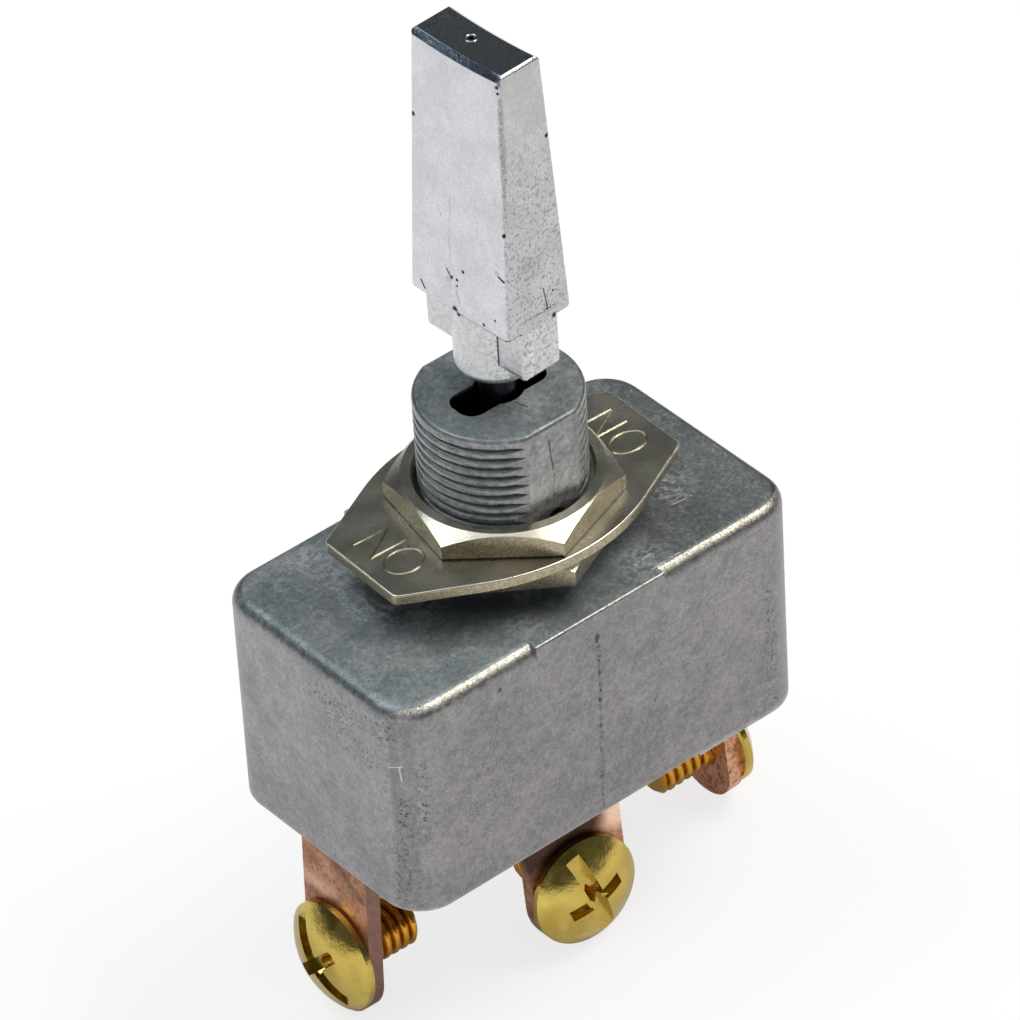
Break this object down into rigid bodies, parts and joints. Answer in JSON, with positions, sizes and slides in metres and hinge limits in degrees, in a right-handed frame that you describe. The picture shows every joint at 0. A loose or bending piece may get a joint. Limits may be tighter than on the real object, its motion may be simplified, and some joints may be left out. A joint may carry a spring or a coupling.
{
  "type": "panel toggle switch",
  "caption": "Heavy-duty metal panel toggle switch, on-off-on, flat paddle lever, threaded bushing with nuts and legend plate, and brass screw terminals on copper tabs.",
  "frame": {"origin": "on the bushing axis, at the housing's top face", "axes": "+Z along the bushing towards the lever, X along the housing's long side and the lever's throw, Y across"},
  "size_m": [0.0389, 0.0206, 0.0749],
  "materials": {
    "zinc_casting": "as-cast dull grey, mottled",
    "lever_casting": "bright as-cast, satin",
    "nickel": "satin nickel plate, warm",
    "brass": "plated brass, bright",
    "copper": "dull copper strip",
    "steel": "bright steel",
    "contact_metal": "silver contact",
    "phenolic": "brown phenolic board",
    "fibre": "grey insulating fibre"
  },
  "bodies": {
    "base": {"housing": "zinc_casting", "front_nut": "nickel", "back_nut": "nickel", "legend_plate": "nickel", "terminal_left": "copper", "terminal_centre": "copper", "terminal_right": "copper", "terminal_screw_left": "brass", "terminal_screw_centre": "brass", "terminal_screw_right": "brass", "lever_pivot_pin": "steel", "rocker_cradle": "copper", "rocker_pivot_pin": "steel", "cradle_rivet": "brass", "fixed_contact_left": "contact_metal", "fixed_contact_right": "contact_metal", "terminal_board": "phenolic", "insulating_liner": "fibre"},
    "toggle": {"lever": "lever_casting", "plunger_spring": "steel"},
    "plunger_body": {"plunger": "steel"},
    "rocker_body": {"rocker": "copper", "rocker_contact_left": "contact_metal", "rocker_contact_right": "contact_metal"}
  },
  "joints": [
    {"name": "lever_tilt", "type": "hinge", "parent": "base", "child": "toggle", "pos_m": [0, 0, 0.0052], "axis": [0, 1, 0], "range_deg": [-14.5, 14.5]},
    {"name": "rocker_tilt", "type": "hinge", "parent": "base", "child": "rocker_body", "pos_m": [0, 0, -0.0131], "axis": [0, 1, 0], "range_deg": [-7.25, 7.25]},
    {"name": "plunger_slide", "type": "slide", "parent": "toggle", "child": "plunger_body", "axis": [0, 0, 1], "range_m": [0, 0.0008], "stiffness_N_per_m": 100, "deforming": ["plunger_spring"]}
  ],
  "couplings": [
    {"joint": "rocker_tilt", "follows": "lever_tilt", "ratio": -0.5}
  ]
}
